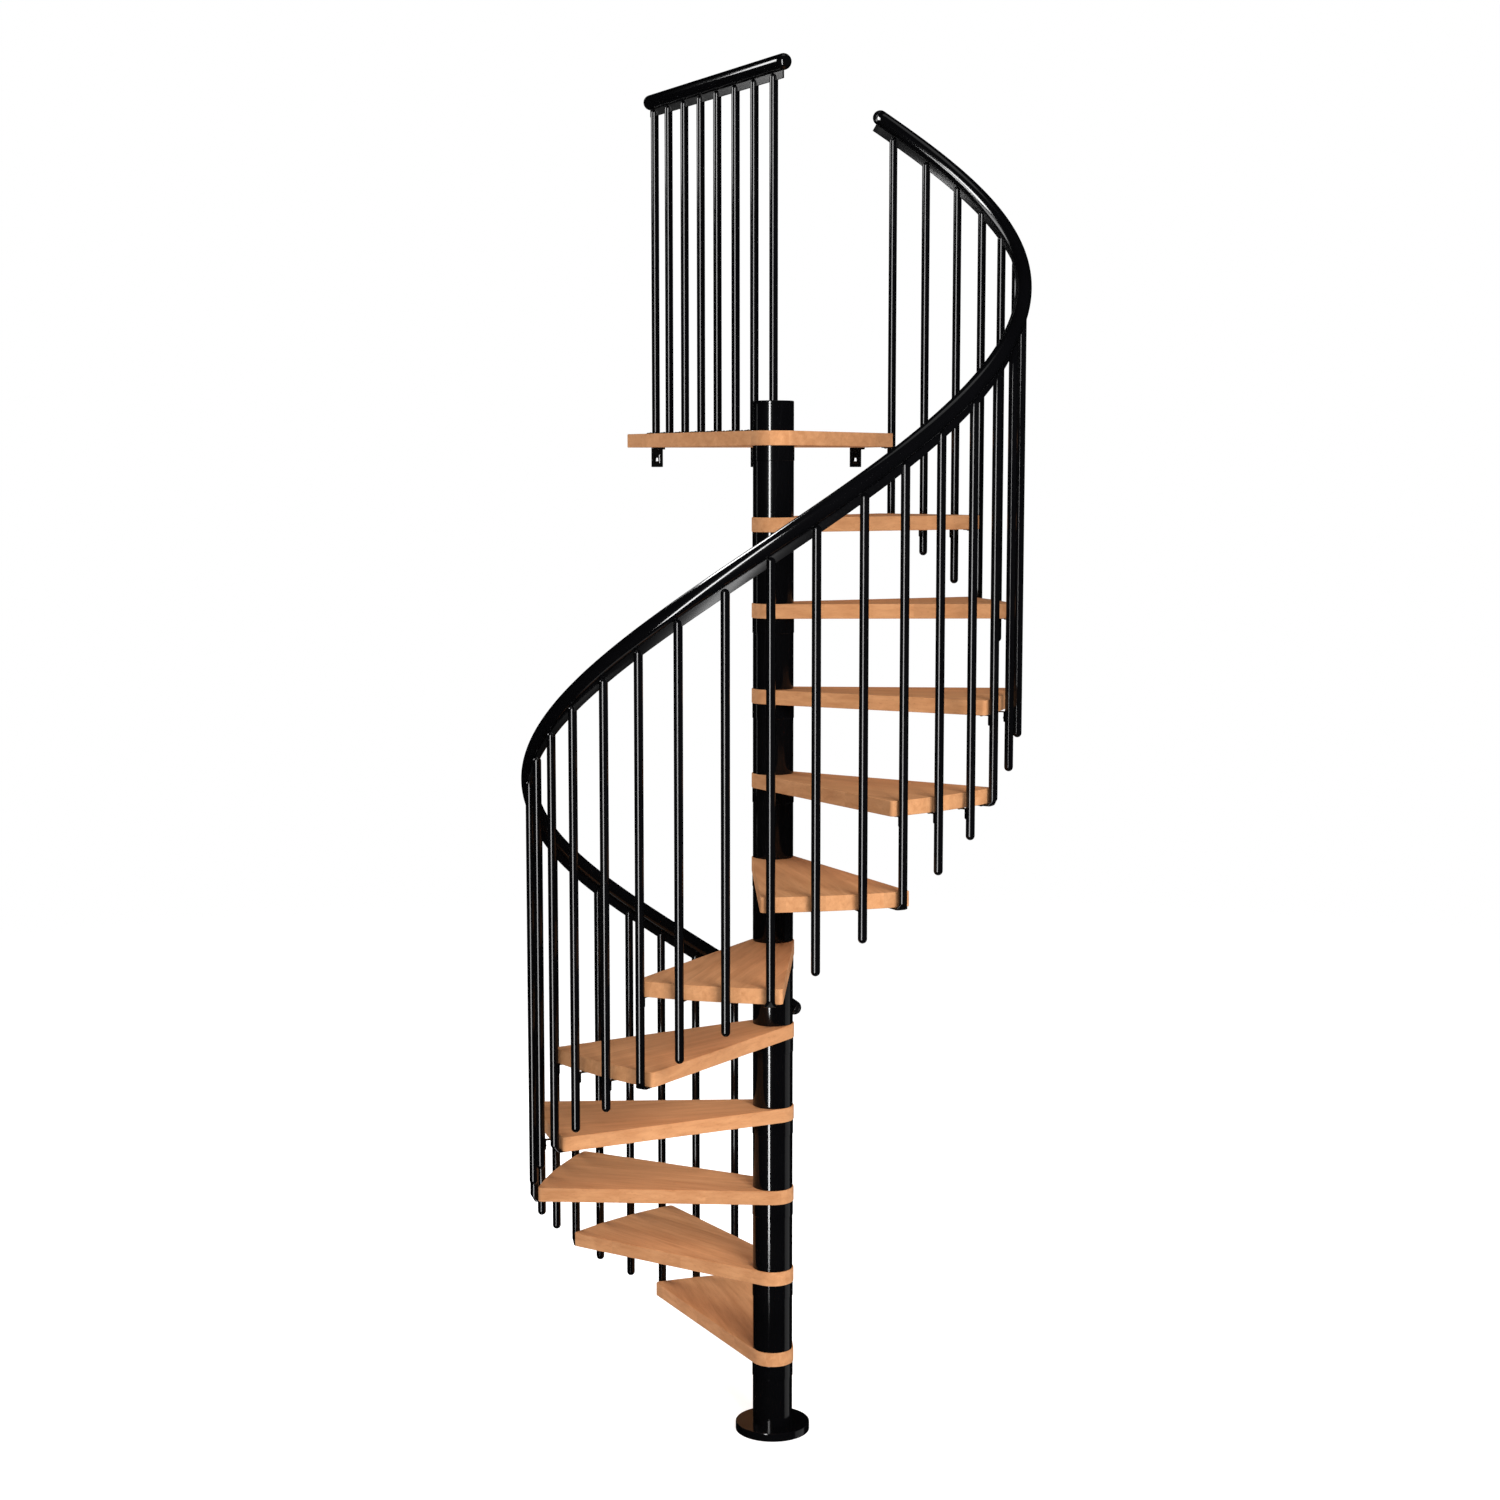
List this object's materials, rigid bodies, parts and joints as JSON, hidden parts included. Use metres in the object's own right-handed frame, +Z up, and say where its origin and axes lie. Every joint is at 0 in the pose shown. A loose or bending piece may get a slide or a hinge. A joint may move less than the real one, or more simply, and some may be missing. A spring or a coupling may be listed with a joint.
{
  "type": "spiral staircase",
  "caption": "Spiral staircase: wooden wedge treads on a black steel column, round balusters, a helical handrail and a railed wooden landing at the top.",
  "frame": {"origin": "centre of the base flange's underside, on the floor and on the column's axis", "axes": "+Z up along the column, +X along the landing's back edge, +Y from the column to the landing"},
  "size_m": [1.2379, 1.2689, 3.4045],
  "materials": {
    "beech": "satin lacquer",
    "black_steel": "gloss black powder coat",
    "cap_plastic": "gloss black"
  },
  "bodies": {
    "root": {"base_flange": "black_steel", "centre_pole": "black_steel", "column_tubes": "black_steel", "column_collars": "black_steel", "column_cap": "black_steel", "tread_01": "beech", "tread_02": "beech", "tread_03": "beech", "tread_04": "beech", "tread_05": "beech", "tread_06": "beech", "tread_07": "beech", "tread_08": "beech", "tread_09": "beech", "tread_10": "beech", "tread_11": "beech", "landing": "beech", "first_baluster": "black_steel", "corner_balusters": "black_steel", "baluster_feet": "black_steel", "middle_balusters": "black_steel", "baluster_brackets": "black_steel", "handrail": "black_steel", "handrail_caps": "cap_plastic", "handrail_strip": "black_steel", "landing_rail": "black_steel", "landing_strip": "black_steel", "landing_balusters": "black_steel", "landing_rosettes": "black_steel", "wall_brackets": "black_steel"}
  },
  "joints": []
}
